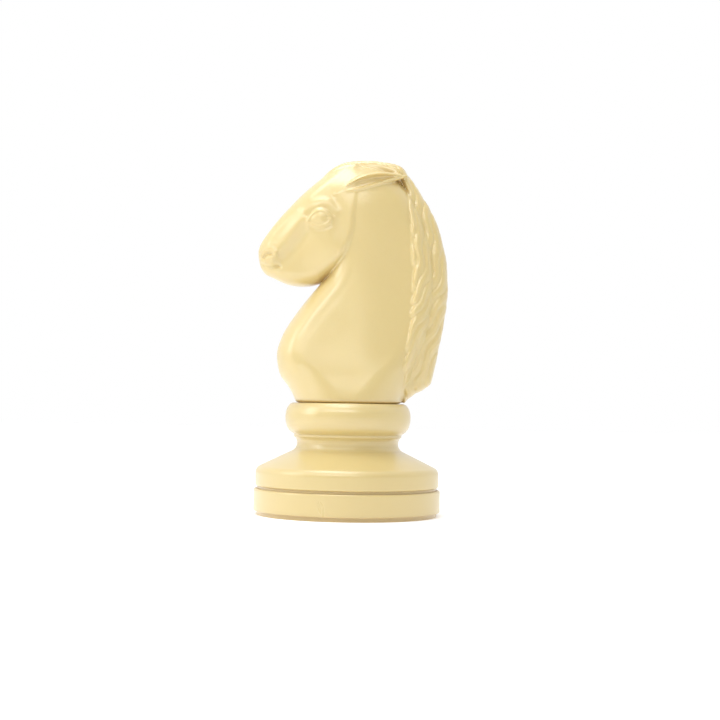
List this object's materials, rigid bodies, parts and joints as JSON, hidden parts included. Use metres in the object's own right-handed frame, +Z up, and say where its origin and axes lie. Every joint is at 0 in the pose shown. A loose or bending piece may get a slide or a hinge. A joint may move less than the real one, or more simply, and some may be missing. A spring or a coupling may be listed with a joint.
{
  "type": "giant chess piece",
  "caption": "Hollow plastic lawn chess knight: sand-ballasted round foot with a screw filler plug, collar ring, and a two-part horse head that locks on with a bayonet.",
  "frame": {"origin": "centre of the ring under the foot that the piece stands on", "axes": "+Z up along the axis of the foot, -X the way the horse faces, -Y its left side"},
  "size_m": [0.2376, 0.23, 0.44],
  "materials": {
    "ivory_plastic": "gloss",
    "inner_plastic": "satin",
    "seal_rubber": "matte",
    "zinc_steel": "satin",
    "sand": "matte"
  },
  "bodies": {
    "base": {"foot_tray": "ivory_plastic", "filler_neck": "inner_plastic", "tray_gasket": "seal_rubber", "foot_shell": "ivory_plastic", "tray_screws": "zinc_steel", "sand_ballast": "sand", "collar": "ivory_plastic", "spigot_ring": "seal_rubber"},
    "washer": {"plug_washer": "seal_rubber"},
    "plug": {"filler_plug": "inner_plastic"},
    "head": {"head_left": "ivory_plastic", "head_right": "ivory_plastic", "head_screws": "zinc_steel", "head_socket": "inner_plastic", "socket_screws": "zinc_steel"}
  },
  "joints": [
    {"name": "head_turn", "type": "hinge", "parent": "base", "child": "head", "pos_m": [0, 0, 0.1375], "axis": [0, 0, 1], "range_deg": [0, 60]},
    {"name": "plug_travel", "type": "slide", "parent": "base", "child": "washer", "axis": [0, 0, -1], "range_m": [0, 0.012]},
    {"name": "plug_turn", "type": "hinge", "parent": "washer", "child": "plug", "pos_m": [0, 0, 0.006], "axis": [0, 0, -1], "range_deg": [0, 1080]}
  ],
  "couplings": [
    {"joint": "plug_travel", "follows": "plug_turn", "m_per_rad": 0.00063662}
  ]
}
